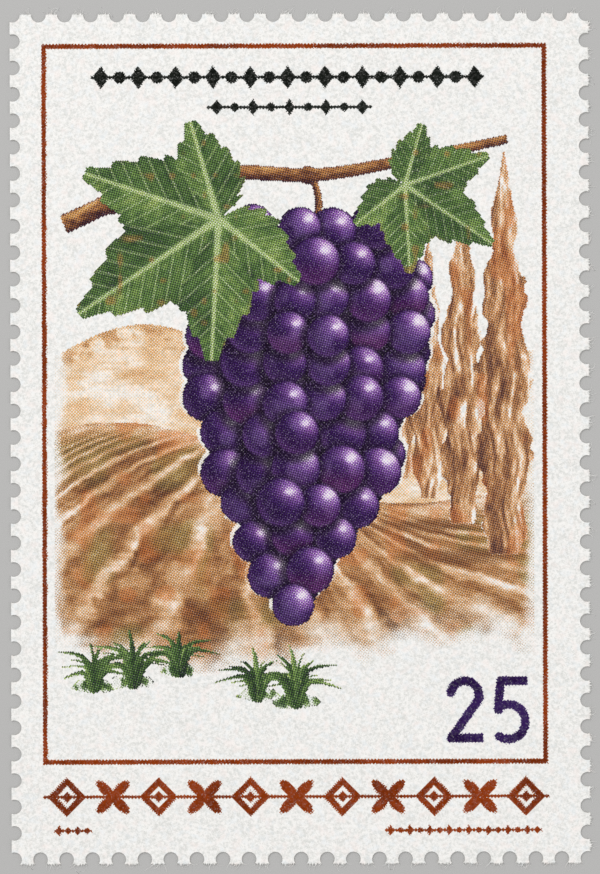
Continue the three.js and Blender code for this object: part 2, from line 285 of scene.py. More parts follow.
class Tree:
    """Builds a node tree with little text. A value may be a number or a socket."""

    def __init__(self, tree):
        self.tree = tree

    def node(self, kind, **settings):
        node = self.tree.nodes.new(kind)
        for name, value in settings.items():
            setattr(node, name, value)
        return node

    def fill(self, socket, value):
        if isinstance(value, bpy.types.NodeSocket):
            self.tree.links.new(value, socket)
        else:
            socket.default_value = value

    def calc(self, operation, *values, clamp=False):
        node = self.node("ShaderNodeMath", operation=operation, use_clamp=clamp)
        for socket, value in zip(node.inputs, values):
            self.fill(socket, value)
        return node.outputs[0]

    def mix(self, share, a, b, how="MIX"):
        node = self.node("ShaderNodeMix", data_type="RGBA", blend_type=how)
        self.fill(node.inputs[0], share)
        self.fill(node.inputs[6], a)
        self.fill(node.inputs[7], b)
        return node.outputs[2]

    def vector(self, operation, *values):
        node = self.node("ShaderNodeVectorMath", operation=operation)
        for socket, value in zip(node.inputs, values):
            self.fill(socket, value)
        return node.outputs[0]

    def between(self, value, low, high):
        """0 below low, 1 above high and smooth between."""
        node = self.node("ShaderNodeMapRange", interpolation_type="SMOOTHSTEP")
        for socket, number in zip(node.inputs, (value, low, high)):
            self.fill(socket, number)
        return node.outputs[0]

    def place(self, size, turn=0.0):
        """Object coordinates along axes turned about Z, counted in lengths of the size given."""
        coordinates = self.node("ShaderNodeTexCoord")
        mapping = self.node("ShaderNodeMapping", vector_type="TEXTURE")
        mapping.inputs["Rotation"].default_value = (0, 0, turn)
        mapping.inputs["Scale"].default_value = size
        self.tree.links.new(coordinates.outputs["Object"], mapping.inputs["Vector"])
        return mapping.outputs[0]

    def noise(self, size, turn=0.0, detail=2.0, roughness=0.5):
        """Noise with blotches of about the size given, from 0 to 1."""
        texture = self.node("ShaderNodeTexNoise")
        texture.inputs["Scale"].default_value = 1
        texture.inputs["Detail"].default_value = detail
        texture.inputs["Roughness"].default_value = roughness
        self.fill(texture.inputs["Vector"], self.place(size, turn))
        return texture.outputs["Fac"]


def span(across, up=None):
    """Size of a pattern from its millimetres."""
    return (across * MM, (up or across) * MM, across * MM)


def group(name, inputs, outputs, build):
    """A shader node group; build gets the Tree and its input sockets and returns the outputs."""
    tree = bpy.data.node_groups.new(name, "ShaderNodeTree")
    for kind, label in inputs:
        tree.interface.new_socket(label, in_out="INPUT", socket_type=kind)
    for kind, label in outputs:
        tree.interface.new_socket(label, in_out="OUTPUT", socket_type=kind)
    t = Tree(tree)
    start = t.node("NodeGroupInput")
    end = t.node("NodeGroupOutput")
    for socket, value in zip(end.inputs, build(t, start.outputs[: len(inputs)])):
        t.fill(socket, value)
    return tree


def paper_tone_nodes(t, _):
    """Off-white with a soft cloud of fibres that run every way."""
    cloud = t.noise(span(0.17), detail=3, roughness=0.7)
    fibres = t.noise(span(0.6, 0.055), turn=0.4, detail=2)
    for turn in (1.3, 2.1, 2.8):
        fibres = t.calc("MAXIMUM", fibres, t.noise(span(0.5, 0.05), turn=turn, detail=2))
    height = t.calc("ADD", t.calc("MULTIPLY", cloud, 0.55), t.calc("MULTIPLY", fibres, 0.45))
    white = (*linear(WHITE + 0.012), 1)
    grey = (*linear(WHITE - np.array([0.095, 0.088, 0.09])), 1)
    base = t.mix(t.between(height, 0.43, 0.62), grey, white)
    pink = t.between(t.noise(span(0.5), turn=1.1), 0.48, 0.75)
    blue = t.between(t.noise(span(0.4), turn=2.7), 0.48, 0.75)
    warm = t.mix(t.calc("MULTIPLY", pink, 0.5), base, (0.88, 0.80, 0.77, 1))
    return t.mix(t.calc("MULTIPLY", blue, 0.4), warm, (0.76, 0.82, 0.86, 1)), height


def screen_nodes(t, inputs):
    """1 on the dots of a screen that cover the share of the paper given, 0 between them."""
    coverage, position = inputs
    split = t.node("ShaderNodeSeparateXYZ")
    t.fill(split.inputs[0], position)
    waves = [t.calc("COSINE", t.calc("MULTIPLY", split.outputs[k], 2 * math.pi)) for k in (0, 1)]
    hill = t.calc("MULTIPLY_ADD", t.calc("ADD", *waves), 0.25, 0.5)
    spread = t.calc("MULTIPLY_ADD", t.noise(span(0.07), detail=1), 0.3, -0.15)
    level = t.calc("SUBTRACT", t.calc("SUBTRACT", 1.0, coverage), spread)
    dots = t.between(hill, t.calc("SUBTRACT", level, 0.14), t.calc("ADD", level, 0.14))
    sure = t.between(coverage, 0.01, 0.06)
    return (t.calc("MULTIPLY", dots, sure),)


def print_nodes(t, inputs):
    """A wash of colour laid on the paper as two screens of dots: a coloured ink and a dark one."""
    wash, grain = inputs
    paper = t.node("ShaderNodeGroup", node_tree=paper_tone)
    paper_colour, height = paper.outputs
    split = t.node("ShaderNodeSeparateColor")
    t.fill(split.inputs[0], t.vector("DIVIDE", wash, tuple(linear(WHITE))))
    red, green, blue = split.outputs
    lightest = t.calc("MAXIMUM", t.calc("MAXIMUM", red, green), blue)
    darkest = t.calc("MINIMUM", t.calc("MINIMUM", red, green), blue)
    key = t.calc("MULTIPLY", t.calc("SUBTRACT", 1.0, lightest, clamp=True), DARK_SHARE)
    key_left = t.calc("SUBTRACT", 1.0, t.calc("MULTIPLY", key, DARK_DENSITY))
    gone = t.calc("SUBTRACT", 1.0, t.calc("DIVIDE", darkest, key_left), clamp=True)
    cover = t.calc("MULTIPLY", t.calc("POWER", gone, 0.72), 1.06, clamp=True)
    scale = t.node("ShaderNodeVectorMath", operation="SCALE")
    t.fill(scale.inputs[0], t.vector("DIVIDE", wash, tuple(linear(WHITE))))
    t.fill(scale.inputs["Scale"], t.calc("DIVIDE", 1.0, key_left))
    lack = t.vector("SUBTRACT", (1, 1, 1), scale.outputs[0])
    ink = t.node("ShaderNodeVectorMath", operation="SCALE")
    t.fill(ink.inputs[0], lack)
    t.fill(ink.inputs["Scale"], t.calc("DIVIDE", 1.0, t.calc("MAXIMUM", cover, 0.02)))
    ink_colour = t.vector("MAXIMUM", t.vector("SUBTRACT", (1, 1, 1), ink.outputs[0]), (0.004, 0.004, 0.004))
    masks = []
    for share, turn in ((cover, COLOUR_SCREEN_TURN), (key, DARK_SCREEN_TURN)):
        screen = t.node("ShaderNodeGroup", node_tree=dot_screen)
        t.fill(screen.inputs[0], share)
        t.fill(screen.inputs[1], t.place(span(SCREEN_PITCH), math.radians(turn)))
        masks.append(screen.outputs[0])
    printed = t.mix(masks[0], paper_colour, t.vector("MULTIPLY", paper_colour, ink_colour))
    keyed = t.mix(t.calc("MULTIPLY", masks[1], DARK_DENSITY), printed, (0.010, 0.003, 0.018, 1))
    speck = t.between(t.noise(span(0.11), detail=1), 0.56, 0.7)
    bare = t.calc("MULTIPLY", speck, grain)
    return t.mix(bare, keyed, t.mix(0.5, wash, (0.32, 0.22, 0.46, 1))), height


def surface(name, build, roughness, bump, specular):
    """A material whose colour and height come from build."""
    material = bpy.data.materials.new(name)
    material.use_nodes = True
    t = Tree(material.node_tree)
    t.tree.nodes.clear()
    shader = t.node("ShaderNodeBsdfPrincipled")
    shader.inputs["Roughness"].default_value = roughness
    shader.inputs["Specular IOR Level"].default_value = specular
    base, height = build(t)
    relief = t.node("ShaderNodeBump")
    relief.inputs["Strength"].default_value = bump
    relief.inputs["Distance"].default_value = 0.02 * MM
    t.fill(relief.inputs["Height"], height)
    t.fill(shader.inputs["Base Color"], base)
    t.fill(shader.inputs["Normal"], relief.outputs[0])
    end = t.node("ShaderNodeOutputMaterial")
    t.fill(end.inputs[0], shader.outputs[0])
    return material


def paper_build(t):
    return t.node("ShaderNodeGroup", node_tree=paper_tone).outputs


def ink_build(t):
    wash = t.node("ShaderNodeAttribute", attribute_name="wash")
    offset = t.node("ShaderNodeGroup", node_tree=offset_print)
    t.fill(offset.inputs[0], wash.outputs["Color"])
    t.fill(offset.inputs[1], wash.outputs["Alpha"])
    return offset.outputs


def line_build(t):
    """Solid ink that lies thinner in patches, with pinholes down to the paper."""
    wash = t.node("ShaderNodeAttribute", attribute_name="wash")
    paper_colour, height = t.node("ShaderNodeGroup", node_tree=paper_tone).outputs
    thin = t.calc("MULTIPLY", t.between(t.noise(span(0.16), detail=2), 0.45, 0.75), 0.035)
    laid = t.mix(thin, wash.outputs["Color"], paper_colour)
    holes = t.between(t.noise(span(0.09), detail=1), 0.6, 0.72)
    pinholes = t.calc("MULTIPLY", holes, wash.outputs["Alpha"])
    return t.mix(pinholes, laid, paper_colour), height


def gum_build(t):
    """Dull cream gum, crazed by fine breaks."""
    cells = t.node("ShaderNodeTexVoronoi", feature="DISTANCE_TO_EDGE")
    cells.inputs["Scale"].default_value = 1
    t.fill(cells.inputs["Vector"], t.place(span(1.1)))
    breaks = t.between(cells.outputs["Distance"], 0.0, 0.05)
    cloud = t.noise(span(2.5), detail=4)
    cream = t.mix(cloud, (0.74, 0.70, 0.58, 1), (0.83, 0.80, 0.71, 1))
    return t.mix(breaks, (0.62, 0.58, 0.47, 1), cream), breaks


COLOUR, VALUE, VECTOR = "NodeSocketColor", "NodeSocketFloat", "NodeSocketVector"
surface_values = [(COLOUR, "Colour"), (VALUE, "Height")]
screen_inputs = [(VALUE, "Coverage"), (VECTOR, "Position")]
paper_tone = group("paper tone", [], surface_values, paper_tone_nodes)
dot_screen = group("dot screen", screen_inputs, [(VALUE, "Dots")], screen_nodes)
offset_print = group("offset print", [(COLOUR, "Wash"), (VALUE, "Grain")], surface_values, print_nodes)
paper_material = surface("paper", paper_build, 0.85, 0.35, 0.2)
ink_material = surface("offset ink", ink_build, 0.7, 0.25, 0.03)
line_material = surface("line ink", line_build, 0.7, 0.25, 0.03)
fibre_material = surface("loose fibres", paper_build, 0.85, 0.0, 0.1)
gum_material = surface("gum", gum_build, 0.32, 0.3, 0.5)


# The sheet: holes punched on four sides, and tips that were torn on three.


def sheet_outline(ragged_tips):
    """Points round the sheet, anticlockwise, the step inwards from each, and which are torn."""
    random = np.random.default_rng(5)
    width = HOLES_ACROSS * PITCH_X + REACH["left"] + REACH["right"]
    height = HOLES_DOWN * PITCH_Y + REACH["top"] + REACH["bottom"]
    left, right = -width / 2 + REACH["left"], width / 2 - REACH["right"]
    bottom, top = -height / 2 + REACH["bottom"], height / 2 - REACH["top"]
    sides = [
        ("bottom", -90, HOLES_ACROSS, left, bottom, PITCH_X, 0),
        ("right", 0, HOLES_DOWN, right, bottom, 0, PITCH_Y),
        ("top", 90, HOLES_ACROSS, right, top, -PITCH_X, 0),
        ("left", 180, HOLES_DOWN, left, top, 0, -PITCH_Y),
    ]
    mouth = {name: math.degrees(math.acos(REACH[name] / HOLE_RADIUS)) for name, *_ in sides}
    points, inwards, torn = [], [], []
    for index, (name, normal, count, x, y, dx, dy) in enumerate(sides):
        following = sides[(index + 1) % 4][0]
        outward = np.array([math.cos(math.radians(normal)), math.sin(math.radians(normal))])
        onward = np.array([dx, dy]) / math.hypot(dx, dy)
        half_gap = math.sqrt(HOLE_RADIUS**2 - REACH[name] ** 2)
        tip = math.hypot(dx, dy) - 2 * half_gap
        for i in range(1, count + 1):
            # The torn tip before hole i, unless it is cut clean.
            if ragged_tips and name != "left":
                start = np.array([x + dx * (i - 1), y + dy * (i - 1)]) + onward * half_gap
                for step in range(1, TIP_STEPS):
                    share = step / TIP_STEPS
                    crown = math.sin(math.pi * share) ** 0.5
                    ragged = TIP_RAGGED * crown * (0.1 + 0.9 * random.random() ** 1.8)
                    if i == 1 and step < 2:
                        continue
                    points.append(start + onward * tip * share + outward * (REACH[name] - 0.02 + ragged))
                    inwards.append(-outward * TORN_DEPTH * min(1, 0.2 + 6 * share * (1 - share)))
                    torn.append(True)
            begin = normal - mouth[name]
            corner = i == count
            end = (normal + 90 + mouth[following] if corner else normal + mouth[name]) - 360
            steps = int(ARC_STEPS * (1.5 if corner else 1))
            for step in range(steps + 1):
                angle = math.radians(begin + (end - begin) * step / steps)
                radius = HOLE_RADIUS + 0.006 * (random.random() - 0.5) * ragged_tips
                away = np.array([math.cos(angle), math.sin(angle)])
                points.append(np.array([x + dx * i, y + dy * i]) + radius * away)
                inwards.append(away * CUT_BEVEL)
                torn.append(False)
    return np.array(points), np.array(inwards), np.array(torn)


def bands(first, count, levels):
    """Faces between closed rings of count points each, which lie one above the other."""
    faces = []
    for start in range(first, first + levels * count, count):
        for i in range(count):
            a, b = start + i, start + (i + 1) % count
            faces.append((a, b, b + count, a + count))
    return faces


def slab(rings, cap_top, cap_bottom):
    """Closed solid from rings of points, bottom ring first, each with its own heights."""
    count = len(rings[0])
    points = np.concatenate(rings)
    faces = bands(0, count, len(rings) - 1)
    last = (len(rings) - 1) * count
    faces += [tuple(reversed(face)) for face in cap_bottom]
    faces += [tuple(last + i for i in face) for face in cap_top]
    return points, faces


def cap(outline):
    """Triangles that fill an outline, all facing up."""
    faces = []
    for a, b, c in tessellate_polygon([[Vector((x, y, 0)) for x, y in outline]]):
        (ax, ay), (bx, by), (cx, cy) = outline[a], outline[b], outline[c]
        turn = (bx - ax) * (cy - ay) - (by - ay) * (cx - ax)
        faces.append((a, b, c) if turn > 0 else (a, c, b))
    return faces


def at_height(outline, z):
    return np.column_stack([outline, np.broadcast_to(z, len(outline))])


def make_sheet():
    random = np.random.default_rng(21)
    outline, inwards, torn = sheet_outline(True)
    inner = outline + inwards
    thick = PAPER_TOP - GUM_TOP
    worn = np.where(torn, thick * (0.35 + 0.5 * random.random(len(outline))), 0.012)
    rings = [
        at_height(outline, GUM_TOP),
        at_height(outline, PAPER_TOP - worn),
        at_height(inner, PAPER_TOP),
    ]
    points, faces = slab(rings, cap(inner), cap(outline))
    piece("paper", points, faces, paper_material, ["paper_sheet"])
    smooth_outline, _, _ = sheet_outline(False)
    rings = [at_height(smooth_outline, 0), at_height(smooth_outline, GUM_TOP)]
    points, faces = slab(rings, cap(smooth_outline), cap(smooth_outline))
    piece("gum", points, faces, gum_material, ["gum_layer"])
    make_fibres(outline[torn], inner[torn])


def make_fibres(tips, roots):
    """Fine paper fibres that stand out of the torn tips."""
    random = np.random.default_rng(33)
    points, faces = [], []
    sides, steps = 4, 7
    for tip, root in zip(tips, roots):
        if random.random() > 0.6:
            continue
        out = (tip - root) / np.linalg.norm(tip - root)
        length = 0.1 + 0.5 * random.random() ** 2.5
        if random.random() < 0.05:
            length += 0.3
        thin = 0.006 + 0.007 * random.random()
        bend = (random.random() - 0.5) * 10 * length
        heading = math.atan2(out[1], out[0]) + (random.random() - 0.5) * 1.9
        x, y = root + (tip - root) * 0.3
        z = GUM_TOP + 0.02 + 0.05 * random.random()
        rise = (random.random() - 0.55) * 0.25
        for step in range(steps + 1):
            share = step / steps
            width = thin * (1 - 0.75 * share)
            for side in range(sides):
                angle = 2 * math.pi * side / sides
                lean = width * math.cos(angle)
                height = min(max(z + width * math.sin(angle), 0.004), PAPER_TOP)
                points.append((x - lean * math.sin(heading), y + lean * math.cos(heading), height))
            x += length / steps * math.cos(heading)
            y += length / steps * math.sin(heading)
            z += length / steps * rise
            heading += bend / steps
        first = len(points) - sides * (steps + 1)
        faces += bands(first, sides, steps)
        faces.append(tuple(first + side for side in reversed(range(sides))))
        faces.append(tuple(first + steps * sides + side for side in range(sides)))
    piece("torn_fibres", points, faces, fibre_material, [])


# Line work: the rule, the ornaments and the figures.


def line_film(name, box, gap, tones, replaced):
    """Ink wherever gap, a distance to the form's edge, is below the ripple of the screen.

    tones are two that the solid ink drifts between, and that of the lighter ink at its edge.
    """
    lattice = Lattice(LINE_CELL, *box)
    u = (lattice.x + lattice.y) / math.sqrt(2) / SCREEN_PITCH * 2 * math.pi
    v = (lattice.y - lattice.x) / math.sqrt(2) / SCREEN_PITCH * 2 * math.pi
    ripple = 0.021 * (np.cos(u) + np.cos(v)) + 0.02 * (noise(lattice.x, lattice.y, 0.3, 3) - 0.5)
    inside = gap(lattice.x, lattice.y) < ripple + 0.02

    def paint(x, y):
        drift = 0.65 * noise(x, y, 2.2, 8) + 0.35 * noise(x, y, 0.16, 9)
        base = blend(tones[0], tones[1], smooth(0.3, 0.72, drift))
        base = blend(base, tones[2], smooth(-0.03, 0.06, gap(x, y)) * 0.7)
        return with_grain(base, 0.14)

    lattice.film(name, inside, paint, line_material, replaced)


def box_gap(x, y, left, bottom, right, top):
    across = np.maximum(left - x, x - right)
    up = np.maximum(bottom - y, y - top)
    return np.maximum(across, up)


def lozenge_gap(x, y, half_x, half_y):
    reach = np.abs(x) / half_x + np.abs(y) / half_y - 1
    return reach * half_x * half_y / math.hypot(half_x, half_y)


def oval_gap(x, y, half_x, half_y, turn=0.0):
    u = x * math.cos(turn) + y * math.sin(turn)
    v = y * math.cos(turn) - x * math.sin(turn)
    return (np.hypot(u / half_x, v / half_y) - 1) * min(half_x, half_y)


def rule_gap(x, y):
    half = RULE["width"] / 2
    left, right, top, bottom = (RULE[k] for k in ("left", "right", "top", "bottom"))
    outer = box_gap(x, y, left - half, bottom - half, right + half, top + half)
    inner = box_gap(x, y, left + half, bottom + half, right - half, top - half)
    return np.maximum(outer, -inner)


def thread_gap(band, x, y):
    """The thin line that a band's ornaments hang on."""
    half = band["line"] / 2
    return box_gap(x, y, band["left"], band["y"] - half, band["right"], band["y"] + half)


def ornament_gap(band):
    """Open lozenges and four-petal rosettes by turns on a thin line."""

    def gap(x, y):
        pitch = (band["right"] - band["left"]) / band["count"]
        half = band["height"] / 2
        found = thread_gap(band, x, y)
        for i in range(band["count"]):
            u, v = x - band["left"] - pitch * (i + 0.5), y - band["y"]
            if i % 2 == 0:
                hollow = lozenge_gap(u, v, half * 0.56, half * 0.6)
                ring = np.maximum(lozenge_gap(u, v, half * 0.98, half), -hollow)
                kernel = lozenge_gap(u, v, half * 0.26, half * 0.28)
                found = np.minimum(found, np.minimum(ring, kernel))
            else:
                for petal in range(4):
                    turn = math.radians(45 + 90 * petal)
                    reach = half * 0.56
                    du, dv = u - reach * math.cos(turn), v - reach * math.sin(turn)
                    found = np.minimum(found, oval_gap(du, dv, half * 0.56, half * 0.25, turn))
        return found

    return gap


def bead_gap(band):
    """Small lozenges and discs by turns on a thin line."""

    def gap(x, y):
        pitch = (band["right"] - band["left"]) / band["count"]
        half = band["height"] / 2
        found = thread_gap(band, x, y)
        for i in range(band["count"]):
            u, v = x - band["left"] - pitch * (i + 0.5), y - band["y"]
            if i % 2 == 0:
                bead = lozenge_gap(u, v, half * 0.72, half)
            else:
                bead = oval_gap(u, v, half * 0.52, half * 0.52)
            found = np.minimum(found, bead)
        return found

    return gap


def arc(middle, half_x, half_y, angles):
    x, y = middle
    turns = [math.radians(angle) for angle in angles]
    return [(x + half_x * math.cos(turn), y + half_y * math.sin(turn)) for turn in turns]


def figure_gap(figure, left):
    """The plain figures 2 and 5, drawn with a pen of one width."""
    base, height, width, stroke = (NUMERAL[k] for k in ("baseline", "height", "width", "stroke"))
    half = stroke / 2
    right = left + width
    if figure == 2:
        radius = width / 2 - half
        middle = (left + width / 2, base + height - half - radius)
        pens = [arc(middle, radius, radius, range(170, -31, -20)) + [(left + half * 1.1, base + half)]]
        bar = (left + half * 0.4, base, right, base + stroke)
    else:
        radius = height * 0.31
        middle = (left + width / 2 - half * 0.6, base + radius)
        bowl = arc(middle, width / 2 - half * 0.2, radius * 0.86, range(118, -146, -24))
        top = base + height - half
        pens = [bowl, [(left + stroke, top), (left + half * 1.4, base + height * 0.49)]]
        bar = (left + stroke * 0.7, top - half, right - half * 0.4, top + half)

    def gap(x, y):
        found = box_gap(x, y, *bar)
        for pen in pens:
            _, side = along(x, y, spline(pen, 40))
            found = np.minimum(found, np.abs(side) - half)
        return found

    return gap


def band_box(band):
    half = band["height"] / 2 + 0.2
    return band["left"] - 0.2, band["right"] + 0.2, band["y"] - half, band["y"] + half


def make_line_work():
    brick = (colour("88350a"), colour("6c2704"), colour("cc884e"))
    grey = (colour("181c18"), colour("0d100c"), colour("6a706b"))
    violet = (colour("311a52"), colour("210c3a"), colour("7c69a0"))
    rule_box = (RULE["left"] - 0.3, RULE["right"] + 0.3, RULE["bottom"] - 0.3, RULE["top"] + 0.3)
    line_film("print_rule", rule_box, rule_gap, brick, ["ink_frame_rule"])
    for name, band, gap, tones, slot in (
        ("lower_band", LOWER_BAND, ornament_gap, brick, "brick_ink"),
        ("upper_band", UPPER_BAND, bead_gap, grey, "dark_grey_ink"),
        ("short_band", SHORT_BAND, bead_gap, grey, "dark_grey_ink"),
        ("left_marks", LEFT_MARKS, bead_gap, brick, "brick_ink"),
        ("right_marks", RIGHT_MARKS, bead_gap, brick, "brick_ink"),
    ):
        line_film("print_" + name, band_box(band), gap(band), tones, ["ink_" + name])
    left = NUMERAL["left"]
    for figure in (2, 5):
        base = NUMERAL["baseline"]
        box = (left - 0.3, left + NUMERAL["width"] + 0.3, base - 0.3, base + NUMERAL["height"] + 0.3)
        name = f"numeral_{figure}"
        line_film("print_" + name, box, figure_gap(figure, left), violet, ["ink_" + name])
        left += NUMERAL["width"] + NUMERAL["gap"]


# The picture: each form says which points it covers and how it is painted there.


def berry_rows():
    rows = []
    for row in range(BUNCH["rows"]):
        share = row / (BUNCH["rows"] - 1)
        half = BUNCH["half_width"] * math.sin(math.pi * (0.2 + 0.78 * share**0.85))
        count = max(1, math.floor(2 * half / BERRY_SPACING + 0.5))
        found = []
        for i in range(count):
            seed = row * 17 + i * 5
            x = BUNCH["x"] + BUNCH_LEAN * share + (i - (count - 1) / 2) * BERRY_SPACING
            x += 0.5 * (scatter(seed) - 0.5)
            y = BUNCH["top"] - BUNCH["height"] * share + 0.5 * (scatter(seed + 1) - 0.5)
            found.append((x, y, BERRY_RADIUS * (0.92 + 0.16 * scatter(seed + 2))))
        rows.append(found)
    return rows


def berry_list():
    """Berries from the back of the bunch to its front, each with its own tint."""
    rows = berry_rows()
    back, front = [], []
    for upper, lower in zip(rows, rows[1:]):
        for x, y, radius in lower:
            if any(abs(x - other) < BERRY_SPACING for other, _, _ in upper):
                back.append((x + 0.35, y + BERRY_RADIUS * 0.75, radius * 0.92))
    middle = BUNCH["x"] + BUNCH_LEAN / 2
    for index, berry in enumerate(berry for row in rows for berry in row):
        front.append((abs(berry[0] - middle) + 2.4 * scatter(index + 300), berry))
    front = [berry for _, berry in sorted(front, key=lambda item: -item[0])]
    return back + front


BERRIES = berry_list()


def bunch_covers(x, y):
    inside = np.zeros(x.shape, bool)
    for bx, by, radius in BERRIES:
        inside |= np.hypot(x - bx, y - by) < radius
    rows = berry_rows()
    for upper, lower in zip(rows, rows[1:]):
        top, bottom = upper[0][1], lower[0][1]
        share = np.clip((top - y) / (top - bottom), 0, 1)
        left = upper[0][0] * (1 - share) + lower[0][0] * share
        right = upper[-1][0] * (1 - share) + lower[-1][0] * share
        inside |= (y <= top) & (y >= bottom) & (x > left) & (x < right)
    return inside


def paint_bunch(x, y):
    """Round dark berries, lit from the upper right, with bloom and light thrown up from below; painted
    shadows fall from each berry on those beneath, and the rims and the gaps between berries are painted
    dark as shade.
    """
    # The bunch starts dark violet, so the gaps between the berries show as painted shade.
    tone = np.tile(colour("1c0a2e"), (len(x), 1))
    light = np.array([0.5, 0.56, 0.66])
    stops = [(-0.15, "1a082e"), (0.2, "2e154a"), (0.48, "50306c")]
    stops += [(0.72, "7c5c92"), (0.9, "a98cb8"), (1, "d9c9de")]
    grain_field = rough(x, y, 0.5, 41)
    for index, (bx, by, radius) in enumerate(BERRIES):
        u, v = (x - bx) / radius, (y - by) / radius
        reach = np.hypot(u, v)
        # Painted shadow: each berry darkens the berries already laid beneath it, in a ring offset to its
        # lower left.
        painted_shadow = smooth(1.42, 0.98, np.hypot(u + 0.1, v + 0.14)) * 0.62
        tone = tone * (1 - painted_shadow[:, None])
        hit = reach < 1
        if not hit.any():
            continue
        u, v, reach = u[hit], v[hit], reach[hit]
        depth = np.sqrt(np.clip(1 - reach**2, 0, 1))
        lit = u * light[0] + v * light[1] + depth * light[2]
        mottled = grain_field[hit]
        own = 0.16 * (scatter(index + 90) - 0.5)
        value = 0.96 * np.clip(lit, 0, 1) ** 2.5 + 0.24 * (mottled - 0.5) + own + 0.02
        body = ramp(value, *stops)
        bloom = smooth(0.45, 0.75, noise(x[hit] + index, y[hit], 0.9, 52)) * smooth(1.0, 0.35, reach) * 0.34
        body = blend(body, "9a87b0", bloom)
        reflected = smooth(0.55, 0.98, reach) * smooth(0.1, -0.75, u * 0.5 + v * 0.85) * 0.42
        body = blend(body, "7a5892", reflected)
        redness = smooth(0.5, 1.0, scatter(index + 150)) * smooth(0.2, -0.6, v)
        body = blend(body, "6a2a5c", 0.5 * redness)
        # Painted highlight: a soft pale spot on the upper right of each berry.
        painted_highlight = smooth(0.3, 0.05, np.hypot((u - 0.36) / 1.1, (v - 0.42) / 0.8))
        body = blend(body, "e9deee", 0.8 * painted_highlight)
        # Painted shade: each berry darkens towards its rim.
        body = blend(body, "140422", smooth(0.9, 1.0, reach) * 0.6)
        tone[hit] = body
    dark = 1 - tone.mean(1)
    return with_grain(tone, 0.62 * smooth(0.6, 0.9, dark))


def leaf_parts(leaf, x, y):
    """For each lobe: share along its rib, distance to the side in leaf sizes, and its half width there."""
    for turn, length, width in LOBES:
        angle = math.radians(leaf["turn"] + turn)
        dx, dy = x - leaf["x"], y - leaf["y"]
        share = (dx * math.cos(angle) + dy * math.sin(angle)) / (leaf["size"] * length)
        side = (dy * math.cos(angle) - dx * math.sin(angle)) / leaf["size"]
        inside = np.clip(share, 0, 1)
        half = width * np.sin(np.pi * inside**0.72) ** 1.05
        tooth = TOOTH_DEPTH * np.clip((inside * LEAF_TEETH % 1) / 0.86, 0, 1)
        yield share, side, half + tooth * smooth(0, 0.1, inside), length


def leaf_covers(leaf):
    def covers(x, y):
        inside = np.zeros(x.shape, bool)
        for share, side, half, _ in leaf_parts(leaf, x, y):
            inside |= (share > 0) & (share < 1) & (np.abs(side) < half)
        return inside

    return covers


def paint_leaf(leaf, seed):
    """Green painted lighter and darker as if puffed between pale veins and lighter on one side of each rib,
    with sunlit edges and a few dry spots.
    """

    def paint(x, y):
        best = np.full(len(x), 9.0)
        vein = np.zeros(len(x))
        painted_shading = np.zeros(len(x))
        for share, side, half, length in leaf_parts(leaf, x, y):
            nearness = np.abs(side) / (half + 0.02) + 2.0 * (share < 0) + np.clip(share - 1, 0, 1)
            rib = smooth(0.02, 0.006, np.abs(side) * (0.5 + 0.9 * share))
            sweep = (share * length - np.abs(side) * 0.95) / 0.105
            phase = sweep - np.floor(sweep)
            branch = smooth(0.13, 0.0, np.minimum(phase, 1 - phase)) * smooth(1.1, 0.75, nearness) * 0.8
            mine = nearness < best
            best = np.where(mine, nearness, best)
            vein = np.where(mine, np.maximum(rib, branch), vein)
            # Painted shading: lighter and darker between the side veins, and lighter on one side of each
            # rib.
            painted_shading = np.where(mine, np.sin(np.pi * phase) * 0.6 + 0.4 * (side > 0), painted_shading)
        cloud = rough(x, y, 1.5, seed)
        fine = rough(x, y, 0.35, seed + 5)
        value = 0.2 + 0.34 * painted_shading + 0.5 * (cloud - 0.35) + 0.3 * (fine - 0.5)
        green = ramp(
            value,
            (0.0, "1a2c10"), (0.3, "345022"), (0.55, "547038"), (0.8, "86985f"), (1.0, "bec794"),
        )
        green = blend(green, "c4cda4", vein * 0.75)
        edge = smooth(0.78, 1.02, best)
        green = blend(green, "a8a052", edge * smooth(0.45, 0.7, noise(x, y, 1.7, seed + 9)) * 0.8)
        green = blend(green, "9a6a34", smooth(0.8, 0.92, noise(x, y, 0.6, seed + 11)) * 0.5)
        green = blend(green, "1e3018", edge * 0.3)
        return with_grain(green, 0.25 * smooth(0.5, 0.1, value))

    return paint


CANE_LINE = spline(CANE_PATH, 90)
STALK_LINE = spline(STALK_PATH, 16)


def cane_measure(x, y):
    """Distance across the cane or the stalk, as a share of its half width there, and the way along."""
    share, side = along(x, y, CANE_LINE)
    swell = sum(np.exp(-(((share - knot) / 0.012) ** 2)) for knot in CANE_KNOTS)
    half = CANE_THICK + (CANE_THIN - CANE_THICK) * share + KNOT_RISE * swell
    across = side / half
    stalk_share, stalk_side = along(x, y, STALK_LINE)
    on_stalk = (np.abs(across) > 1) & (np.abs(stalk_side) < STALK_HALF)
    across = np.where(on_stalk, stalk_side / STALK_HALF, across)
    return across, np.where(on_stalk, stalk_share, share), swell


def cane_covers(x, y):
    across, share, _ = cane_measure(x, y)
    return (np.abs(across) < 1) & (share > 0) & (share < 1)


def paint_cane(x, y):
    """Brown bark with long strands, light on its upper side."""
    across, share, swell = cane_measure(x, y)
    strands = noise(share * 60, across * 3.2, 1.0, 61)
    value = 0.45 + 0.38 * across + 0.5 * (strands - 0.5) - 0.12 * swell
    tone = ramp(
        value,
        (0.0, "3a2113"), (0.35, "6d4423"), (0.65, "a3713f"), (1.0, "dfbd8d"),
    )
    # Painted shade: the cane darkens towards both of its edges.
    tone = blend(tone, "3b1d2f", smooth(0.75, 1.0, np.abs(across)) * 0.6)
    return with_grain(tone, 0.15)


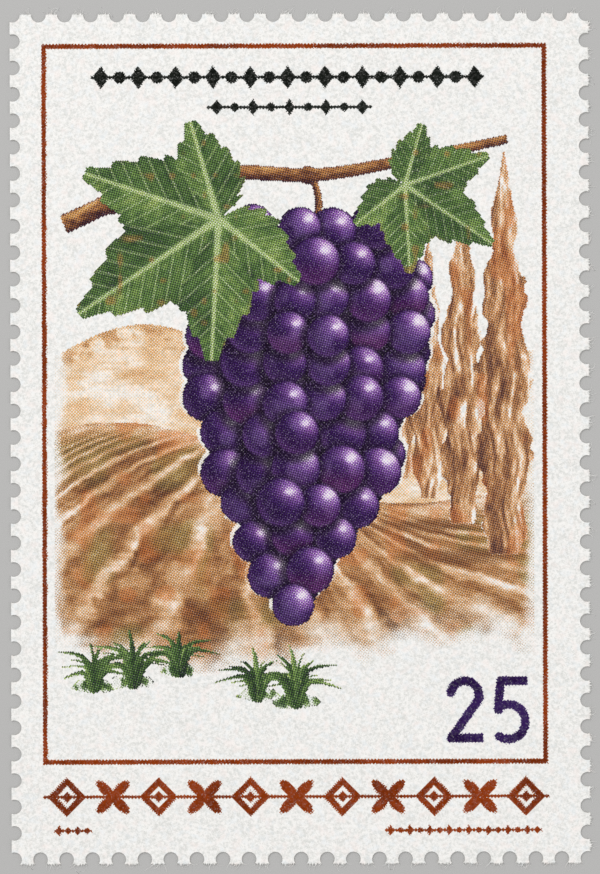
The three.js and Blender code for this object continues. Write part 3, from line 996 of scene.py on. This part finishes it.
def grass_tufts():
    """Root and growth of each tuft."""
    middle = (GRASS["tufts"] - 1) / 2
    return [
        (
            GRASS["x"] + (tuft - middle + 0.7 * (scatter(tuft + 50) - 0.5)) * GRASS["spread"],
            GRASS["y"] + 2.0 * scatter(tuft + 42),
            0.6 + 0.6 * scatter(tuft + 61),
        )
        for tuft in range(GRASS["tufts"])
    ]


def grass_blades():
    """Lines and widths of the blades: those of the solids, with finer ones among them."""
    blades = []
    for tuft, (root_x, root_y, growth) in enumerate(grass_tufts()):
        for blade in range(GRASS["blades"] * 2 - 1):
            coarse = blade % 2 == 0
            seed = tuft * 31 + (blade // 2 if coarse else blade + 400)
            lean = -1.25 + 2.5 * blade / (GRASS["blades"] * 2 - 2) + 0.25 * (scatter(seed) - 0.5)
            length = GRASS["length"] * growth * (0.65 + 0.5 * scatter(seed + 7)) * (1 - 0.18 * abs(lean))
            if not coarse:
                length *= 0.86
            bend_x, bend_y = length * 0.45 * math.sin(lean * 0.6), length * 0.5 * math.cos(lean * 0.6)
            path = [
                (root_x + 0.08 * lean, root_y - 0.25),
                (root_x + bend_x, root_y + bend_y),
                (root_x + length * math.sin(lean), root_y + length * math.cos(lean) * 0.75),
            ]
            blades.append((spline(path, 14), GRASS["half"] * (1 if coarse else 0.6), scatter(seed + 60)))
    return blades


BLADES = grass_blades()


def grass_measure(x, y):
    """Nearest blade's distance as a share of its half width, its tint, and the way along it.

    In the low growth round the roots the way is below 0, down to -1 at its rim.
    """
    best = np.full(len(x), 9.0)
    tint, way = np.zeros(len(x)), np.zeros(len(x))
    for line, half, own in BLADES:
        low, high = line.min(0) - 1, line.max(0) + 1
        near = (x > low[0]) & (x < high[0]) & (y > low[1]) & (y < high[1])
        if not near.any():
            continue
        share, side = along(x[near], y[near], line)
        across = side / (half * (1.05 - share))
        closer = np.abs(across) < np.abs(best[near])
        spots = np.nonzero(near)[0][closer]
        best[spots], tint[spots], way[spots] = across[closer], own, share[closer]
    for root_x, root_y, growth in grass_tufts():
        mound = np.hypot((x - root_x) / (GRASS["spread"] * 0.5 * growth), (y - root_y + 0.1) / 0.36)
        mound = mound + 0.5 * (noise(x, y, 0.3, 77) - 0.5)
        low_growth = (mound < 1) & (np.abs(best) >= 1)
        best = np.where(low_growth, 0.9 * mound, best)
        tint = np.where(low_growth, noise(x + 0.3 * y, y * 0.3, 0.13, 78), tint)
        way = np.where(low_growth, -np.clip(mound, 0, 1), way)
    return best, tint, way


def grass_covers(x, y):
    return np.abs(grass_measure(x, y)[0]) < 1


def paint_grass(x, y):
    across, tint, way = grass_measure(x, y)
    # Painted light: each blade is lighter along one side.
    value = 0.28 + 0.5 * (tint - 0.4) + 0.22 * across + 0.25 * (rough(x, y, 0.3, 80) - 0.5)
    value = value + 0.3 * np.maximum(way, 0)
    tone = ramp(
        value,
        (0.0, "172a10"), (0.35, "385424"), (0.65, "657f45"), (1.0, "b0bc86"),
    )
    thinning = smooth(0.45, 1.0, -way + 0.9 * (noise(x + 0.4 * y, y * 0.35, 0.2, 79) - 0.5))
    tone = blend(tone, WHITE, 0.92 * thinning)
    return with_grain(tone, 0.2 * smooth(0.4, 0.0, value) * (1 - thinning))


def poplar_list():
    """Axis, foot, top and half width of each tree, from the nearest to the farthest."""
    trees = []
    x = POPLARS["x"]
    for i in range(POPLARS["count"]):
        scale = POPLARS["shrink"] ** i
        base = POPLARS["horizon"] + (POPLARS["base"] - POPLARS["horizon"]) * scale
        top = POPLARS["horizon"] + (POPLARS["top"] - POPLARS["horizon"]) * scale
        half = (top - base) * POPLARS["slim"]
        trees.append((x, base, top, half))
        x -= half * (1 + POPLARS["shrink"]) * 0.93
    return trees


TREES = poplar_list()


def poplar_measure(x, y):
    """Nearest tree in front: distance across as a share of its half width, tree number and height share."""
    across, number, way = np.full(len(x), 9.0), np.full(len(x), len(TREES)), np.zeros(len(x))
    for i, (axis, base, top, half) in reversed(list(enumerate(TREES))):
        share = (y - base) / (top - base)
        inside = np.clip(share, 0, 1)
        crown = half * np.sin(np.pi * (0.12 + 0.88 * inside**0.75)) ** 0.8
        crown = crown * (1 + 0.16 * np.sin(inside * 31 + i * 2))
        crown = crown * (0.84 + 0.34 * noise(x, y * 0.6, 0.3, 20 + i))
        mine = (share > 0) & (share < 1) & (np.abs(x - axis) < np.maximum(crown, 0.03))
        across = np.where(mine, (x - axis) / np.maximum(crown, 0.03), across)
        number = np.where(mine, i, number)
        way = np.where(mine, share, way)
    return across, number, way


def poplar_covers(x, y):
    return poplar_measure(x, y)[1] < len(TREES)


def paint_poplars(x, y):
    """Upright strokes of ochre and brown, paler with distance, lit from the right."""
    across, number, way = poplar_measure(x, y)
    across = np.clip(across, -1, 1)
    strokes = noise(x * 3.4 + 0.5 * np.sin(y * 1.3), y * 0.42, 0.62, 91)
    fine = noise(x * 5.5, y * 1.4, 0.5, 92)
    patch = rough(x, y, 1.3, 93)
    value = 0.5 + 0.2 * across + 0.75 * (strokes - 0.5) + 0.4 * (fine - 0.5) + 0.5 * (patch - 0.5)
    value = value + 0.05 * number + 0.1 * way
    tone = ramp(
        value,
        (0.0, "5c3c2c"), (0.25, "80573a"), (0.5, "a57a57"), (0.72, "c9a382"), (0.9, "e6ccb4"),
        (1.0, ""),
    )
    tone = blend(tone, "a8501c", smooth(0.6, 0.8, noise(x, y * 0.5, 0.8, 95)) * 0.35)
    tone = blend(tone, WHITE, bare_gap(x, y))
    return with_grain(tone)


def near_hill(x):
    return -1.6 - 0.11 * x + 1.5 * np.cos((x + 9) * 0.23)


def far_hill(x):
    return 3.6 + 2.4 * np.cos((x + 8.5) * 0.27) - 0.06 * x


def ground_edge(x):
    return PICTURE["bottom"] + 0.8 * np.cos((x - 9) * 0.22) + 0.35 * np.sin(x * 1.3)


def within_picture(x):
    return (x > PICTURE["left"]) & (x < PICTURE["right"])


def near_hill_covers(x, y):
    return within_picture(x) & (y < near_hill(x)) & (y > ground_edge(x))


def far_hill_covers(x, y):
    return within_picture(x) & (y < far_hill(x)) & (y > near_hill(x) - 1)


def edge_fade(x, y):
    """1 inside the picture, falling to 0 in brushed patches at its left and right edges."""
    gap = np.minimum(x - PICTURE["left"], PICTURE["right"] - x)
    return smooth(0.0, 0.9, gap + 1.1 * (rough(x, y * 0.5, 0.9, 101) - 0.45))


def bare_gap(x, y):
    """Share of bare paper left beside the bunch, where the background's ink stops short of it."""
    left = bunch_covers(x + 0.18, y - 0.08) * smooth(0.4, 0.55, noise(x, y, 1.3, 140))
    right = bunch_covers(x - 0.16, y - 0.12) * smooth(0.42, 0.58, noise(x, y, 1.1, 141))
    return 0.85 * np.maximum(left, right)


def paint_near_hill(x, y):
    """Rows of vines that run to the crest, in strokes of ochre, with the ground fading to bare paper."""
    drop = near_hill(x) - y
    row = (x + 2.5) / (drop + 1.9) * 2.6 + 0.35 * (rough(x, y, 0.9, 110) - 0.5)
    phase = row - np.floor(row)
    foliage = smooth(0.5, 0.2, np.abs(phase - 0.42)) * smooth(0.2, 1.2, drop)
    clumps = noise(row * 3, (drop + 1.9) ** -0.6 * 22, 1.0, 111)
    strokes = noise(x * 0.7, y * 2.6, 0.55, 112)
    furrows = noise(row * 7, drop * 0.9, 1.0, 119)
    cloud = rough(x, y, 2.4, 113)
    value = 0.74 - 0.42 * foliage * (0.55 + 0.9 * clumps) + 0.5 * (cloud - 0.5)
    value = value + 0.24 * (strokes - 0.5) + 0.42 * (furrows - 0.5)
    ground = y - ground_edge(x)
    fade = smooth(0.1, 3.4, ground + 1.9 * (rough(x, y * 1.6, 1.3, 114) - 0.5))
    tone = ramp(
        value,
        (0.0, "684224"), (0.25, "8d6039"), (0.5, "b48c68"), (0.72, "d2b294"), (0.95, "ebdacb"),
        (1.1, ""),
    )
    tone = blend(tone, "b2561d", smooth(0.62, 0.8, noise(x, y, 1.1, 115)) * 0.3)
    tone = blend(tone, "7d7a46", foliage * smooth(0.5, 0.75, noise(x, y, 1.9, 117)) * 0.4)
    for axis, base, _, half in TREES[:4]:
        shade = np.hypot((x - axis + half * 1.6) / (half * 3.2), (y - base + 0.1) / (half * 0.42))
        shade = shade + 0.5 * (rough(x, y, 0.4, 118) - 0.5)
        tone = blend(tone, "7a5230", smooth(1.1, 0.3, shade) * 0.75)
    tone = blend(tone, WHITE, bare_gap(x, y))
    tone = blend(np.tile(WHITE, (len(x), 1)), tone, fade * (0.2 + 0.8 * edge_fade(x, y)))
    return with_grain(tone)


def paint_far_hill(x, y):
    """Pale slope with a wooded crest."""
    drop = far_hill(x) - y
    woods = smooth(1.3, 0.2, drop + 0.9 * (noise(x, y, 0.5, 120) - 0.5))
    woods = woods * smooth(0.35, 0.6, rough(x, y, 0.6, 121))
    cloud = rough(x, y * 1.8, 1.6, 122)
    value = 0.72 - 0.4 * woods + 0.55 * (cloud - 0.5) + 0.2 * (noise(x * 0.6, y * 3, 0.5, 123) - 0.5)
    tone = ramp(
        value,
        (0.0, "8f6744"), (0.35, "c29a75"), (0.6, "dec0a0"), (0.85, "eee0d0"), (1.05, ""),
    )
    tone = blend(tone, WHITE, bare_gap(x, y))
    tone = blend(np.tile(WHITE, (len(x), 1)), tone, 0.15 + 0.85 * edge_fade(x, y))
    return with_grain(tone)


def make_picture():
    """Gives each cell of the screen to the front form that covers it, and makes one film of each form."""
    forms = [
        ("leaf_big", leaf_covers(BIG_LEAF), paint_leaf(BIG_LEAF, 130), "leaf_ink"),
        ("leaf_small", leaf_covers(SMALL_LEAF), paint_leaf(SMALL_LEAF, 150), "leaf_ink"),
        ("bunch", bunch_covers, paint_bunch, "berry_ink"),
        ("cane", cane_covers, paint_cane, "wood_ink"),
        ("grass", grass_covers, paint_grass, "leaf_ink"),
        ("poplars", poplar_covers, paint_poplars, "dark_ochre_ink"),
        ("near_hill", near_hill_covers, paint_near_hill, "ochre_ink"),
        ("far_hill", far_hill_covers, paint_far_hill, "pale_ochre_ink"),
    ]
    lattice = Lattice(
        PICTURE_CELL, PICTURE["left"], PICTURE["right"], PICTURE["bottom"] - 2, PICTURE["top"] + 0.6
    )
    free = np.ones(lattice.x.shape, bool)
    for name, covers, paint, slot in forms:
        mine = free & covers(lattice.x, lattice.y)
        free &= ~mine
        lattice.film("print_" + name, mine, paint, ink_material, nodes_named("ink_" + name))


# The room: table, light and camera.


def make_room():
    scene = bpy.context.scene
    mesh = bpy.data.meshes.new("table")
    half, drop = 1.5, -0.000002
    corners = [(-half, -half, drop), (half, -half, drop), (half, half, drop), (-half, half, drop)]
    mesh.from_pydata(corners, [], [(0, 1, 2, 3)])
    table = bpy.data.objects.new("table", mesh)
    scene.collection.objects.link(table)
    material = bpy.data.materials.new("pale table")
    material.use_nodes = True
    shader = material.node_tree.nodes["Principled BSDF"]
    shader.inputs["Base Color"].default_value = TABLE_COLOUR
    shader.inputs["Roughness"].default_value = 0.9
    mesh.materials.append(material)

    world = bpy.data.worlds.new("room")
    scene.world = world
    world.use_nodes = True
    background = world.node_tree.nodes["Background"]
    background.inputs["Color"].default_value = WORLD_COLOUR
    background.inputs["Strength"].default_value = WORLD_STRENGTH

    for name, place, size, power in LAMPS:
        light = bpy.data.lights.new(name, "AREA")
        light.size = size
        light.energy = power
        lamp = bpy.data.objects.new(name, light)
        lamp.location = place
        lamp.rotation_mode = "QUATERNION"
        lamp.rotation_quaternion = Vector(place).to_track_quat("Z", "Y")
        scene.collection.objects.link(lamp)

    scene.view_settings.view_transform = "Standard"
    scene.cycles.use_denoising = False


def make_camera():
    """Straight above, with the stamp's centre a little below the middle of the image, as in the photo."""
    centre_y = (STAMP_MIDDLE_Y - IMAGE_HEIGHT / 2) / PIXELS_PER_MM
    view_height = IMAGE_HEIGHT / PIXELS_PER_MM
    data = bpy.data.cameras.new("camera")
    data.lens = LENS
    camera = bpy.data.objects.new("camera", data)
    distance = view_height * data.lens / data.sensor_width
    data.clip_start = 0.01
    camera.location = (0, centre_y * MM, (distance + INK_TOP) * MM)
    camera.rotation_euler = (0, 0, math.radians(CAMERA_TURN))
    bpy.context.scene.collection.objects.link(camera)
    bpy.context.scene.camera = camera


make_camera()
make_sheet()
make_line_work()
make_picture()
make_room()
